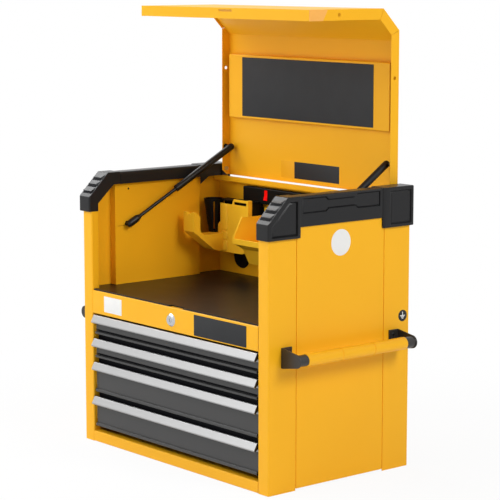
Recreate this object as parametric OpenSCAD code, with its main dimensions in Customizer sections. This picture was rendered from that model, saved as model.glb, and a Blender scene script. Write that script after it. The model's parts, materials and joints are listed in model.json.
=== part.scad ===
// Drawer tool chest: a folded sheet steel till chest with four drawers on telescopic slides,
// a lid on two gas struts, moulded corner caps and rails, and a tubular handle on each side.
// The front faces -Y, the floor is Z = 0 and sizes are in millimetres.

/* [Case] */
// Width over the corner posts
case_w = 660; // [600:5:760]
// Depth over the corner posts
case_d = 405; // [395:5:450]
// Thickness of the case sheet
sheet = 1.5; // [1:0.1:2]
// Outside radius of a sheet bend
bend_r = 3; // [2.5:0.5:4]
// Face width of a front post
post_face = 34; // [30:1:40]
// Depth of a front post along the side
post_d = 75; // [70:1:80]
// Depth of the return fold inside a front post
post_return = 20; // [18:1:24]
// Depth of a rear post along the side
rear_post_d = 77; // [72:1:82]
// Lap of a side panel inside a front post
post_lap = 50; // [40:1:52]
// Lap of a side panel inside a rear post
panel_lap = 15; // [10:1:20]
// Width of the seam between a post and a side panel
seam = 2; // [1:0.5:3]
// Distance from the side of the case to the face of the till lining
lining = 22; // [20:1:26]
// Height of the side panels' lower edge above the floor
panel_lift = 4.5; // [2:0.5:8]
// Height of the bottom rail
base_rail_h = 25; // [20:1:32]
// Height of the front rail above the drawers
front_rail_h = 54; // [50:1:60]
// Height of the till from the front rail to the top of the caps
till_h = 269; // [255:1:300]
// Thickness of the till mat
mat_t = 3; // [1:0.5:4]

/* [Rails and caps] */
// Wall of the moulded caps and rails
wall = 3; // [2.5:0.5:3.5]
// Height of a corner cap
cap_h = 87.5; // [84:0.5:92]
// How far a cap stands out past the case
cap_over = 6.5; // [6:0.5:8]
// Length of a front cap along the side
front_cap_l = 89; // [86:1:94]
// Length of a rear cap along the side
rear_cap_l = 92; // [90:0.5:96]
// Height of a front cap's upright face below its slope
cap_brow = 34; // [30:0.5:38]
// Height of a side rail's outer face
rail_h = 64; // [60:1:70]
// Height of a side rail's inner skirt
skirt_h = 28; // [26:1:32]
// Depth of the recessed panels on the rails
recess = 2; // [1:0.1:2]
// Depth of the recessed panels on the caps
cap_recess = 3.2; // [2:0.1:3.4]

/* [Drawers] */
// Height taken by each of the two shallow drawers
shallow_pitch = 55.5; // [55:0.5:70]
// Height taken by each of the two deep drawers
deep_pitch = 81; // [72:1:95]
// Gap below a drawer front
front_gap = 10; // [8:0.5:12]
// Setback of the drawer fronts behind the posts
front_set = 6; // [5.5:0.5:7]
// Reach of a drawer pull in front of the posts
pull_reach = 8; // [6:0.5:10]
// Height of a drawer pull's face
pull_h = 18.5; // [17:0.5:20]
// Wall of the extruded pulls
pull_t = 2; // [1.6:0.1:2.2]
// Thickness of the drawer sheet
drawer_sheet = 1.2; // [0.8:0.1:1.5]
// Height of a slide
slide_h = 34; // [30:1:34]
// Thickness of a closed slide
slide_t = 12.7; // [12.5:0.1:14]

/* [Lid] */
// Thickness of the lid sheet
lid_sheet = 1.2; // [0.8:0.1:1.5]
// Gap on each side of the lid
lid_side_gap = 5.2; // [4.5:0.1:7]
// Width of the folded rim of the lid
lid_rim = 23.4; // [21:0.2:26]
// Size of the sloped edge between the top and the front of the lid
lid_slope = 47.5; // [40:0.5:55]
// Height of the hinge axis below the top of the closed lid
lid_above = 12; // [11:0.5:13]
// Length of the lid behind the hinge axis
lid_tail = 14.8; // [14:0.1:16.5]
// Gap under the front of the closed lid
lid_gap = 7; // [5:0.5:9]
// Depth of the stiffener across the lid
hat_d = 12; // [8:0.5:14]
// Height of the stiffener on the open lid
hat_h = 151; // [130:1:170]

/* [Struts] */
// Diameter of a strut barrel
barrel_d = 16; // [14:0.5:17]
// Length of a strut barrel
barrel_l = 161; // [156:1:170]
// Diameter of a strut rod
rod_d = 8; // [7:0.5:9]
// Diameter of the ball of a strut stud
ball_d = 10; // [9:0.5:11]

/* [Handles] */
// Diameter of the handle grip
grip_d = 22; // [20:1:26]
// Wall of the handle grip
grip_wall = 2; // [1.5:0.5:3]
// Distance from the side of the case to the middle of the grip
grip_out = 47; // [44:1:60]
// Thickness of the handle bracket plates
bracket_t = 3.5; // [3:0.5:5]
// Distance from a handle bracket to the end of the case
bracket_inset = 34; // [30:1:40]

/* [Lock] */
// Diameter of the lock bezel
bezel_d = 30; // [27:1:32]
// Diameter of the lock plug
plug_d = 12; // [10:0.5:13]
// Reach of the lock cam from the middle of the plug
cam_reach = 43.5; // [43:0.5:46]

/* [Till fittings] */
// Length of the power strip
strip_l = 430; // [420:5:460]
// Height of the power strip
strip_h = 38; // [34:1:40]
// Depth of the power strip
strip_d = 17; // [15:1:20]
// Width of the parts bin
bin_w = 110; // [90:1:130]
// Height of the parts bin
bin_h = 112; // [100:1:120]
// Depth of the parts bin
bin_d = 95; // [85:1:105]
// Wall of the parts bin and the tool holster
bin_wall = 2; // [1.6:0.1:2.6]
// Diameter of the cable grommet
grommet_d = 58; // [50:1:64]

/* [Hidden] */
$fn = 48;
paint = "#F8B92E";
black = "#363636";
grey = "#535353";
alloy = "#D2D2D2";
steel = "#B8B8B8";
fit = 0.05;                                  // radial running fit of a pin in its hole
play = 0.3;                                  // clearance between pieces that pass each other
eps = 0.5;                                   // extra length of a cutter

// Plan of the case
side_x = case_w / 2;
open_x = side_x - post_face;                 // half width of the front opening
panel_x = side_x - 2 * sheet;                // inside face of a side panel
mid_y = (case_d + cap_over - pull_reach) / 2;
back_y = case_d - 2 * sheet;                 // inside face of the rear panel
cap_x0 = open_x - 0.5;                       // inner faces of the caps and rails
cap_x1 = side_x + cap_over;
cap_y0 = -cap_over;
cap_y1 = case_d + cap_over;
front_cap_y1 = cap_y0 + front_cap_l;
rear_cap_y0 = cap_y1 - rear_cap_l;
rail_x1 = side_x + wall + play;
lining_x = side_x - lining;                  // inside face of the till lining
lining_y = [post_d, case_d - rear_post_d - seam - 1];

// Heights, from the floor up
pitches = [shallow_pitch, shallow_pitch, deep_pitch, deep_pitch];
drawers = [0 : len(pitches) - 1];
function stack(i) = i < len(pitches) ? pitches[i] + stack(i + 1) : 0;
base_gap = 1.5;                              // below the lowest drawer
rail_gap = 3.5;                              // above the topmost pull
function pull_top(i) = base_rail_h + base_gap + stack(i);
rail_z0 = pull_top(0) + rail_gap;
rail_z1 = rail_z0 + front_rail_h;
cap_z1 = rail_z1 + till_h;
cap_z0 = cap_z1 - cap_h;
side_rail_z1 = cap_z1 - 1;
skirt_z = side_rail_z1 - skirt_h;            // lower edge of the caps' and rails' inner skirts
panel_z1 = side_rail_z1 - 3 * wall;          // top of the side panels and posts
header_z1 = skirt_z - play;
header_h = 13;
shelf = 19;                                  // depth of the rear panel's shelf
base_h = 9.5;

// Lid and its hinge: a lid point is given by its distance outside the axis, and along the open lid
hinge_y = case_d - lid_above - play;
hinge_z = cap_z1 - lid_above - play;
lid_x = cap_x0 - lid_side_gap;
lid_reach = hinge_y;
lid_drop = hinge_z - rail_z1 - lid_gap;
function lid_at(out, up) = [hinge_y + out, hinge_z + up];
lid_path = [lid_at(lid_above, -lid_tail), lid_at(lid_above, lid_reach - lid_slope),
    lid_at(lid_above - lid_slope, lid_reach), lid_at(-lid_drop, lid_reach)];
pin_d = 8;
pin_head = 10;
hat_up = 124.5;                              // from the hinge axis to the stiffener

// Struts: the lower ball on the case wall and the upper end on the lid, on the right side
stud_out = 11;                               // from the lining to the middle of the lower ball
foot_at = [284.1, 112];                      // in front of and below the hinge axis
top_at = [22.3, 2, 53.5];                    // inside the lid's edge, in front of and above the axis
foot = [lining_x - stud_out, hinge_y - foot_at[0], hinge_z - foot_at[1]];
top = [lid_x - top_at[0], hinge_y - top_at[1], hinge_z + top_at[2]];
strut = top - foot;
strut_l = norm(strut);
socket_r = ball_d / 2 + 3;
boot_r = socket_r + 0.5;
boot_l = 31;                                 // length of the rod's end fitting
neck_l = 20;                                 // from the barrel to the upper ball
engaged = 62;                                // length of rod in the barrel of the open strut
barrel_from = strut_l - neck_l - barrel_l;

// Drawers and slides
front_x = open_x - 6;
box_x = open_x - slide_t;
box_y1 = case_d - 40;
slide_y0 = front_set + 3;
slide_l = case_d - 55;
slide_y1 = slide_y0 + slide_l;
slide_post_w = 30;
slide_sheet = 1.2;
slide_play = 0.4;
bead_r = 4.5;
function front_z0(i) = pull_top(i) - pitches[i] + front_gap;
function slide_z(i) = (box_z0(i) + box_z1(i)) / 2;
function box_z0(i) = front_z0(i) + 2;
function box_z1(i) = pull_top(i) - 7;

// Handles
grip_x = side_x + grip_out;
grip_z = rail_z0 - 12.5;
collar_l = 23;
collar_t = 1.3;
plate_h = 43.5;
plate_w = 28;
plate_z1 = grip_z + 22;

// Lock
lock_z = rail_z0 + 25.5;
cam_y = 4.6;
cam_t = 2.4;
cam_w = 10;
cam_slot = [-8, cam_y - 1.2, 37, cam_y + cam_t + 1.2];

// Till fittings on the rear panel
strip_z0 = header_z1 - header_h - 6 - strip_h;
strip_y = back_y - strip_d;
rocker_x = -132.5;
rocker_w = 11;
rocker_h = 25;
rocker_tilt = 8;
rocker_at = [rocker_x, strip_y + 3, strip_z0 + strip_h / 2 + 2.5];
bar_z1 = header_z1 - 67;
bar_h = 25;
bar_d = 8;
bar_l = 504;
bar_y = back_y - bar_d;
bin_x0 = -146;
holster_x = [-258, -154];
pocket_y = [strip_y - 36, strip_y - 24];
pocket_z = bar_z1 - 110;
pocket_h = 129;
arm_x = [-286, -246];
arm_z = pocket_z + 44;                       // top of the holster's arm
fork_y = pocket_y[0] - 90;                   // front of the fork on the arm
grommet_at = [-240, rail_z1 + 46];
grommet_hole = grommet_d - 8;

// A folded sheet is a path with rounded bends, given thickness on its left (or right if negative)
function unit(v) = v / norm(v);
function left_of(p, i) = let (d = unit(p[i + 1] - p[i])) [-d[1], d[0]];
function beside(p, i, t) =
    let (a = left_of(p, max(i - 1, 0)), b = left_of(p, min(i, len(p) - 2)))
    p[i] + t * (a + b) / (1 + a * b);
function ribbon(p, t) = concat(p, [for (i = [len(p) - 1 : -1 : 0]) beside(p, i, t)]);
function arc(c, r, a0, a1, n = 6) =
    [for (k = [0 : n]) let (a = a0 + (a1 - a0) * k / n) c + r * [cos(a), sin(a)]];
function bend(p, i, r) =
    let (a = unit(p[i - 1] - p[i]), b = unit(p[i + 1] - p[i]), h = acos(a * b) / 2,
         c = p[i] + unit(a + b) * r / sin(h), v = p[i] + a * r / tan(h) - c,
         turn = (180 - 2 * h) * sign(a[1] * b[0] - a[0] * b[1]), from = atan2(v[1], v[0]))
    arc(c, r, from, from + turn, 4);
function bent(p, r) =
    [for (i = [0 : len(p) - 1]) each (i == 0 || i == len(p) - 1) ? [p[i]] : bend(p, i, r)];

// Outlines drawn in a plane and carried along the third axis
module along_x(x0, x1) translate([x0, 0, 0]) rotate([90, 0, 90]) linear_extrude(x1 - x0) children();
module along_y(y0, y1) translate([0, y1, 0]) rotate([90, 0, 0]) linear_extrude(y1 - y0) children();
module along_z(z0, z1) translate([0, 0, z0]) linear_extrude(z1 - z0) children();
module block(lo, hi) translate(lo) cube(hi - lo);
module side(s) mirror([s < 0 ? 1 : 0, 0, 0]) children();
module pair() {
    children();
    mirror([1, 0, 0]) children();
}
module rod_x(r, x0, x1) translate([x0, 0, 0]) rotate([0, 90, 0]) cylinder(r = r, h = x1 - x0);
module rod_y(r, y0, y1) translate([0, y1, 0]) rotate([90, 0, 0]) cylinder(r = r, h = y1 - y0);
module framed() translate([0, -mid_y, 0]) children();

// Case, drawn for the right side where it comes in pairs.
// A side panel is flush with the posts, steps back behind them and carries the till lining.
module side_panel() {
    lap_x = side_x - sheet;
    y0 = post_d + seam;
    y1 = case_d - rear_post_d - seam;
    hole = [lining_y[0] + 39, skirt_z - 14];
    slit = [lining_y[0] + 7, foot[2] - 5];
    slit_l = 22;
    color(paint) difference() {
        union() {
            along_z(panel_lift, panel_z1) polygon(ribbon([[lap_x, post_d - post_lap], [lap_x, y0],
                [side_x, y0], [side_x, y1], [lap_x, y1],
                [lap_x, case_d - rear_post_d + panel_lap]], sheet));
            along_z(rail_z1, skirt_z + wall) polygon(ribbon([[lap_x, lining_y[0]],
                [lining_x, lining_y[0]], [lining_x, lining_y[1]],
                [lap_x + sheet / 2, lining_y[1]]], -sheet));
        }
        translate([0, hole[0], hole[1]]) rod_x(2.5, lining_x - eps, lining_x + sheet + eps);
        block([lining_x - eps, slit[0], slit[1]],
            [lining_x + sheet + eps, slit[0] + slit_l, slit[1] + 1]);
        slope_cut(lap_x - 2 * sheet);
    }
}

// Above the lower edge of a cap only the outer sheets of a post go on, as a tongue inside the cap
tongue_x = cap_x0 + wall + play;

module front_post() {
    return_l = 12;
    inner_x = side_x - 2 * bend_r;
    color(paint) difference() {
        along_z(0, panel_z1) polygon(ribbon(bent([[open_x + return_l, post_return],
            [open_x, post_return], [open_x, 0], [side_x, 0], [side_x, post_d]], bend_r), sheet));
        along_z(cap_z0, panel_z1 + eps) polygon([[open_x - eps, -eps], [tongue_x, -eps],
            [tongue_x, 2 * bend_r], [inner_x, 2 * bend_r], [inner_x, post_d + eps],
            [open_x - eps, post_d + eps]]);
        slope_cut(open_x - eps);
    }
}

// What the sloping front of a cap takes off the sheets inside it
module slope_cut(x) {
    along_x(x, side_x + eps) polygon([[-eps, under_slope(-eps) - play],
        [cap_run, under_slope(cap_run) - play], [-eps, under_slope(cap_run) - play]]);
}

module rear_post()
    color(paint) difference() {
        along_z(0, panel_z1) polygon(ribbon(bent([[side_x, case_d - rear_post_d],
            [side_x, case_d], [open_x, case_d]], bend_r), sheet));
        block([open_x - eps, case_d - 2 * bend_r, cap_z0], [tongue_x, case_d + eps, panel_z1 + eps]);
    }

// The rear panel ends in a lip that stands in front of the open lid, above a shelf
module rear_panel() {
    y = back_y + sheet;
    lip_y = case_d - shelf;
    color(paint) difference() {
        along_x(-panel_x + play, panel_x - play) polygon(ribbon(bent([[y, panel_lift],
            [y, header_z1 - header_h], [lip_y, header_z1 - header_h], [lip_y, header_z1]],
            bend_r), sheet));
        translate([grommet_at[0], 0, grommet_at[1]])
            rod_y(grommet_hole / 2, back_y - eps, case_d + eps);
    }
}

module base_pan() {
    y0 = post_return + sheet;
    foot_w = 24;
    color(paint) along_x(-panel_x, panel_x) polygon(ribbon(bent([
        [y0 + foot_w, 0], [y0, 0], [y0, base_h], [back_y, base_h], [back_y, 0],
        [back_y - foot_w, 0]], bend_r), -sheet));
}

module channel(z0, z1)
    along_x(-open_x, open_x) polygon(ribbon(bent([[post_return, z0], [0, z0], [0, z1],
        [post_return, z1]], bend_r), -sheet));

module bottom_rail() color(paint) channel(0, base_rail_h);

module cam_cut(z0, z1)
    block([cam_slot[0], cam_slot[1], z0 - eps], [cam_slot[2], cam_slot[3], z1 + eps]);

module front_rail()
    color(paint) difference() {
        channel(rail_z0, rail_z1);
        translate([0, 0, lock_z]) rod_y(plug_d / 2 + 3.5, -eps, sheet + eps);
        cam_cut(rail_z1 - sheet, rail_z1);
    }

module till_deck()
    color(paint) block([-panel_x, post_return, rail_z1 - sheet], [panel_x, back_y, rail_z1]);

module till_mat() {
    edge = 0.5;
    notch = 3 * edge;                        // clearance round the slot of the lock cam
    x = panel_x - edge;
    step_y = post_return + edge;
    half = [[open_x - edge, bend_r], [open_x - edge, step_y], [x, step_y],
        [x, lining_y[0] - edge], [lining_x - edge, lining_y[0] - edge],
        [lining_x - edge, lining_y[1] + edge], [x, lining_y[1] + edge], [x, back_y - edge]];
    color(black) difference() {
        along_z(rail_z1, rail_z1 + mat_t) polygon(concat(half,
            [for (i = [len(half) - 1 : -1 : 0]) [-half[i][0], half[i][1]]]));
        block([cam_slot[0] - notch, 0, rail_z1 - eps],
            [cam_slot[2] + notch, cam_slot[3] + notch, rail_z1 + mat_t + eps]);
    }
}

// Moulded side rail over the top edge of a side panel, with a waisted recess on its face
module top_rail() {
    mid = (front_cap_y1 + rear_cap_y0) / 2;
    half = (rear_cap_y0 - front_cap_y1) / 2 - 8;
    waist = 38;
    slant = 7;
    dip = 6;
    z1 = side_rail_z1 - 5;
    z0 = z1 - rail_h / 2;
    color(black) difference() {
        along_y(front_cap_y1, rear_cap_y0) polygon(ribbon(bent([
            [rail_x1, side_rail_z1 - rail_h], [rail_x1, side_rail_z1], [cap_x0, side_rail_z1],
            [cap_x0, skirt_z]], 2 * wall), wall));
        along_x(rail_x1 - recess, rail_x1 + eps) translate([mid, 0]) polygon([
            [half, z0], [half, z1], [waist + slant, z1], [waist, z1 - dip], [-waist, z1 - dip],
            [-waist - slant, z1], [-half, z1], [-half, z0], [-waist - slant, z0],
            [-waist, z0 + dip], [waist, z0 + dip], [waist + slant, z0]]);
    }
}

// A cap is a shell that slips over the post, with an inner skirt cut away below a diagonal edge
module cap_shell(outline, plan, hollow, cutaway, panel)
    difference() {
        intersection() {
            along_x(cap_x0, cap_x1) polygon(outline);
            along_z(cap_z0 - eps, cap_z1 + eps) polygon(plan);
        }
        along_x(cap_x0 + wall, side_x + play) polygon(hollow);
        along_x(cap_x0 - eps, side_x + play) polygon(cutaway);
        along_x(cap_x1 - cap_recess, cap_x1 + eps) polygon(panel);
    }

brow_z = cap_z0 + cap_brow;
cap_run = cap_z1 - brow_z;                   // depth and height of a front cap's slope
gusset = [25.5, 18, 70];                     // length and height of the skirt's foot, and its run-out
function under_slope(y) = brow_z + y - cap_y0 - wall * sqrt(2);

module front_cap() {
    corner = 4;
    border = [11, 8, 10.5, 5.5];             // of the recess, at the front, rear, top and bottom
    y = front_cap_y1;
    color(black) {
        cap_shell([[cap_y0, cap_z0], [cap_y0, brow_z], [cap_y0 + cap_run, cap_z1], [y, cap_z1],
                [y, cap_z0]],
            bent([[cap_x0, y], [cap_x0, cap_y0], [cap_x1, cap_y0], [cap_x1, y]], corner),
            [[-play, cap_z0 - eps], [-play, under_slope(-play)],
             [cap_y0 + cap_run + wall * (sqrt(2) - 1), cap_z1 - wall], [y + eps, cap_z1 - wall],
             [y + eps, cap_z0 - eps]],
            [[cap_y0 + gusset[0], cap_z0 - eps], [cap_y0 + gusset[0], cap_z0 + gusset[1]],
             [cap_y0 + gusset[2], skirt_z], [y + eps, skirt_z], [y + eps, cap_z0 - eps]],
            [[cap_y0 + border[0], cap_z0 + border[3]], [cap_y0 + border[0], brow_z - border[3]],
             [cap_y0 + cap_run + border[3], cap_z1 - border[2]], [y - border[1], cap_z1 - border[2]],
             [y - border[1], cap_z0 + border[3]]]);
        finger_pads();
    }
}

// Three wedge-shaped finger pads across the slope of a front cap
module finger_pads() {
    pad_l = 15;
    pad_t = 3.5;
    inset = 4.5;
    for (k = [0 : 2]) let (t = cap_run * (0.2 + 0.26 * k))
        translate([0, cap_y0 + t, brow_z + t]) rotate([45, 0, 0])
            along_x(cap_x0 + inset, cap_x1 - inset) polygon([[0, -wall / 2], [0, pad_t],
                [pad_l / 6, pad_t], [pad_l, 0], [pad_l, -wall / 2]]);
}

module rear_cap() {
    corner = 5;
    facet = 6;
    border = [22, 8, 9, 6.5];
    y = rear_cap_y0;
    color(black) cap_shell(
        concat([[y, cap_z0], [y, cap_z1]],
            bend([[y, cap_z1], [cap_y1, cap_z1], [cap_y1, cap_z0]], 1, corner), [[cap_y1, cap_z0]]),
        concat([[cap_x0, y], [rail_x1, y], [cap_x1, y + facet]],
            bend([[cap_x1, y], [cap_x1, cap_y1], [cap_x0, cap_y1]], 1, corner), [[cap_x0, cap_y1]]),
        [[y - eps, cap_z0 - eps], [y - eps, cap_z1 - wall], [case_d + play, cap_z1 - wall],
         [case_d + play, cap_z0 - eps]],
        [[y - eps, cap_z0 - eps], [y - eps, skirt_z - gusset[1]], [y + gusset[0], skirt_z],
         [case_d + play, skirt_z], [case_d + play, cap_z0 - eps]],
        [[y + border[0], cap_z0 + border[3]], [y + border[0], cap_z1 - border[2]],
         [cap_y1 - border[1], cap_z1 - border[2]], [cap_y1 - border[1], cap_z0 + border[3]]]);
}

// Handles: a bracket is a base plate on the post, an arm and a socket for the tube
module handle_bracket() {
    bracket_y = bracket_inset;
    y1 = bracket_y + bracket_t + collar_l;
    difference() {
        union() {
            block([side_x, bracket_y, plate_z1 - plate_h],
                [side_x + bracket_t, bracket_y + plate_w, plate_z1]);
            along_y(bracket_y, bracket_y + bracket_t) hull() {
                translate([side_x, plate_z1 - plate_h]) square([bracket_t, plate_h]);
                translate([grip_x, grip_z]) circle(r = grip_d / 2 + bracket_t);
            }
            translate([grip_x, 0, grip_z])
                rod_y(grip_d / 2 + collar_t, bracket_y + bracket_t / 2, y1);
        }
        translate([grip_x, 0, grip_z]) rod_y(grip_d / 2 + fit, y1 - collar_l / 2, y1 + eps);
    }
}

module handle_brackets()
    color(black) {
        handle_bracket();
        translate([0, case_d, 0]) mirror([0, 1, 0]) handle_bracket();
    }

module handle_grip() {
    y0 = bracket_inset + bracket_t + collar_l / 2;
    joint_at = 46;                           // of the sleeve's joints, from the middle
    groove = [0.6, 0.4];                     // half width and depth
    color(paint) translate([grip_x, 0, grip_z]) difference() {
        rod_y(grip_d / 2, y0, case_d - y0);
        rod_y(grip_d / 2 - grip_wall, y0 - eps, case_d - y0 + eps);
        for (y = [case_d / 2 - joint_at, case_d / 2 + joint_at]) difference() {
            rod_y(grip_d / 2 + eps, y - groove[0], y + groove[0]);
            rod_y(grip_d / 2 - groove[1], y - groove[0] - eps, y + groove[0] + eps);
        }
    }
}

// Telescopic slides: three nested channels, the outer on the case and the inner on the drawer
module slide_member(x0, x1, half_h)
    along_y(slide_y0, slide_y1) polygon(ribbon([[x0, half_h], [x1, half_h], [x1, -half_h],
        [x0, -half_h]], x1 > x0 ? -slide_sheet : slide_sheet));

slide_lip = box_x + slide_sheet + 1.5;       // open edge of the outer and middle channels
slide_step = slide_sheet + slide_play;

module rear_slide_posts()
    color(paint) pair() along_z(base_h, rail_z0) polygon(ribbon(bent([
        [panel_x, slide_y1 - slide_post_w], [open_x, slide_y1 - slide_post_w], [open_x, slide_y1],
        [panel_x, slide_y1]], bend_r), -sheet));

module slide_outer_rails()
    color(steel) for (i = drawers)
        translate([0, 0, slide_z(i)]) pair() slide_member(slide_lip, open_x, slide_h / 2);

module middle_rails(i)
    color(steel) translate([0, 0, slide_z(i)])
        pair() slide_member(slide_lip, open_x - slide_step, slide_h / 2 - slide_step);

// Drawers, numbered from the top: a folded box with its slide channels, a front and a pull
module drawer_box(i) {
    z0 = box_z0(i);
    z1 = box_z1(i);
    hem = 6;
    y0 = front_set + drawer_sheet;
    t = drawer_sheet;
    color(grey) {
        along_y(y0, box_y1) polygon(ribbon([[box_x - hem, z1], [box_x, z1], [box_x, z0],
            [-box_x, z0], [-box_x, z1], [-box_x + hem, z1]], -t));
        block([-box_x, y0, z0], [box_x, y0 + t, z1]);
        block([-box_x, box_y1 - t, z0], [box_x, box_y1, z1]);
        translate([0, 0, slide_z(i)]) pair()
            slide_member(open_x - 2 * slide_step - 2 * slide_play, box_x,
                slide_h / 2 - 2 * slide_step);
    }
}

module drawer_front(i) {
    z0 = front_z0(i);
    color(grey) along_x(-front_x, front_x) polygon(ribbon(concat([[front_set + 8, z0]],
        arc([front_set, z0 + bead_r], bead_r, 270, 90, 10), [[front_set, pull_top(i) - 1]]),
        -drawer_sheet));
}

module drawer_pull(i) {
    z = pull_top(i);
    curl_r = 1.5 * pull_t;                   // of the rolled lower edge
    inner_r = pull_t + 0.5;
    curl = arc([curl_r - pull_reach, z - pull_h + curl_r], curl_r, 350,
        90 + atan2(pull_h, pull_reach), 10);
    face = [curl[10], [0, z], [front_set, z], [front_set, z - pull_h - 1]];
    color(alloy) along_x(-front_x - 3, front_x + 3) polygon(ribbon(concat(curl,
        bend(face, 1, inner_r), bend(face, 2, inner_r), [face[3]]), -pull_t));
}

// Lid, drawn open
module lid_shell() {
    tail = lid_path[0];
    hem = 6;
    tip = lid_path[3];
    rim = ribbon(lid_path, lid_rim);
    hole_d = 8;
    holes = [[hinge_y, hinge_z + 242], [tip[0] + 85, tip[1] - lid_rim / 2]];
    slit_w = 0.8;
    color(paint) difference() {
        union() {
            along_x(-lid_x, lid_x) polygon(ribbon(concat([tail - [hem, 0]], lid_path,
                [tip - [0, lid_rim]]), lid_sheet));
            pair() along_x(lid_x - lid_sheet, lid_x) difference() {
                polygon(rim);
                polygon([tail - [lid_rim + eps, eps], tail - [lid_above - 2, eps],
                    [hinge_y + 2, hinge_z - lid_tail], [tail[0] - lid_rim - eps, hinge_z - 3]]);
            }
        }
        pair() {
            translate([0, hinge_y, hinge_z])
                rod_x(pin_d / 2 + fit, lid_x - lid_sheet - eps, lid_x + eps);
            for (p = holes) translate([0, p[0], p[1]])
                rod_x(hole_d / 2, lid_x - lid_sheet - eps, lid_x + eps);
            // Mitre slits where the side flanges fold
            for (i = [1, 2]) along_x(lid_x - lid_sheet - eps, lid_x + eps) polygon(ribbon(
                [beside(lid_path, i, 3 * lid_sheet), beside(lid_path, i, lid_rim + 1)], slit_w));
        }
        // The cam slot of the closed lid, turned up with the open lid about the hinge axis
        translate([0, hinge_y, hinge_z]) rotate([-90, 0, 0]) translate([0, -hinge_y, -hinge_z])
            cam_cut(rail_z1 + lid_gap, rail_z1 + lid_gap + lid_sheet);
    }
}

module lid_stiffener() {
    t = 1;
    y = hinge_y + lid_above - lid_sheet;
    z0 = hinge_z + hat_up;
    z1 = z0 + hat_h;
    lap = 10;
    inset = 15;
    edge_x = lid_x - lid_sheet - play;
    brace_z = lid_path[1][1] - lid_rim;
    top_z = lid_path[2][1] - lid_sheet;
    run = top_z - brace_z;
    color(paint) {
        along_x(-lid_x + inset, lid_x - inset) polygon(ribbon(bent([[y, z0 + lap], [y, z0],
            [y - hat_d, z0], [y - hat_d, z1], [y, z1], [y, z1 - lap]], bend_r), -t));
        // Brace across the corner behind the sloped edge
        along_x(-edge_x, edge_x) polygon([[y, brace_z], [y, brace_z + t * sqrt(2)],
            [y - run + t * sqrt(2), top_z], [y - run, top_z]]);
    }
}

module hinge_brackets() {
    ear_r = 10;
    ear_h = 16;                              // below the axis
    color(black) pair() difference() {
        along_x(lid_x + play, cap_x0) polygon(concat(
            arc([hinge_y, hinge_z], ear_r, -20, 180),
            [[hinge_y - ear_r, hinge_z - ear_h], [hinge_y + 4, hinge_z - ear_h]]));
        translate([0, hinge_y, hinge_z]) rod_x(pin_d / 2 + fit, lid_x, cap_x0 + eps);
    }
}

module hinge_pins()
    color(steel) pair() translate([0, hinge_y, hinge_z]) {
        rod_x(pin_d / 2, lid_x - lid_sheet - play, cap_x0);
        rod_x(pin_head / 2, lid_x - lid_sheet - play - 3, lid_x - lid_sheet - play);
    }

// Gas struts: ball studs, a rod with a socket on the case end, a barrel with an end fitting
module along_strut()
    translate(foot) rotate([0, acos(strut[2] / strut_l), atan2(strut[1], strut[0])]) children();

// A stud along +X from the middle of its ball to its seat, turned from a half outline
module ball_stud(at, seat_x, neck_r, base_r, base_t) {
    r = ball_d / 2;
    l = seat_x - at[0];
    color(steel) pair() translate(at) rotate([0, 90, 0]) rotate_extrude() polygon(concat(
        arc([0, 0], r, -90, acos(neck_r / r), 10),
        [[neck_r, l - base_t], [base_r, l - base_t], [base_r, l], [0, l]]));
}

module lid_ball_studs()
    ball_stud(top + [(barrel_d + ball_d) / 2 + play, 0, 0], lid_x - lid_sheet, 3.5, 6, 2);

module wall_ball_studs() ball_stud(foot, lining_x, 3, 6, 1.5);

module strut_rod() {
    seat_r = ball_d / 2 + play;
    mouth_r = ball_d / 2 - 0.4;
    color(black) difference() {
        union() {
            translate(foot) rotate([0, 90, 0]) rotate_extrude()
                polygon(arc([0, 0], socket_r, -90, 90, 16));
            along_strut() rotate_extrude() polygon([[0, 0], [boot_r, 0], [boot_r, boot_l - boot_r],
                [rod_d / 2 + 1.5, boot_l], [rod_d / 2, boot_l], [rod_d / 2, barrel_from + engaged],
                [0, barrel_from + engaged]]);
        }
        // Seat of the ball, open towards the wall
        translate(foot) rotate([0, 90, 0]) rotate_extrude() polygon(concat(
            arc([0, 0], seat_r, -90, acos(mouth_r / seat_r), 12),
            [[mouth_r, boot_r + 1], [0, boot_r + 1]]));
    }
}

module strut_barrel() {
    bore_r = rod_d / 2 + fit;
    bore_end = barrel_from + barrel_l - neck_l;
    color(black) along_strut() rotate_extrude() polygon(concat(
        [[0, bore_end], [bore_r, bore_end], [bore_r, barrel_from], [barrel_d / 2, barrel_from]],
        arc([0, strut_l], barrel_d / 2, 0, 90, 10)));
}

// Lock in the front rail: bezel and housing, plug with a key slot, hooked cam
module lock_housing()
    color(steel) translate([0, 0, lock_z]) difference() {
        union() {
            rotate([90, 0, 0]) cylinder(d1 = bezel_d, d2 = bezel_d - 8, h = 4);
            rod_y(plug_d / 2 + 3.4, -eps, cam_y - 0.2);
        }
        rod_y(plug_d / 2 + fit, -4 - eps, cam_y);
    }

module lock_plug()
    color(steel) translate([0, 0, lock_z]) difference() {
        rod_y(plug_d / 2, -4.6, cam_y);
        block([-1, -5, -4], [1, -2, 4]);
    }

module lock_cam()
    color(steel) translate([0, 0, lock_z]) {
        along_y(cam_y, cam_y + cam_t) {
            circle(d = plug_d + 3);
            polygon([[0, -cam_w / 2], [cam_reach, -cam_w / 2], [cam_reach, cam_w / 2 + 6],
                [cam_reach - 5, cam_w / 2 + 6], [cam_reach - 5, cam_w / 2], [0, cam_w / 2]]);
        }
        rod_y(4, cam_y + cam_t, cam_y + cam_t + 2);
    }

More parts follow.
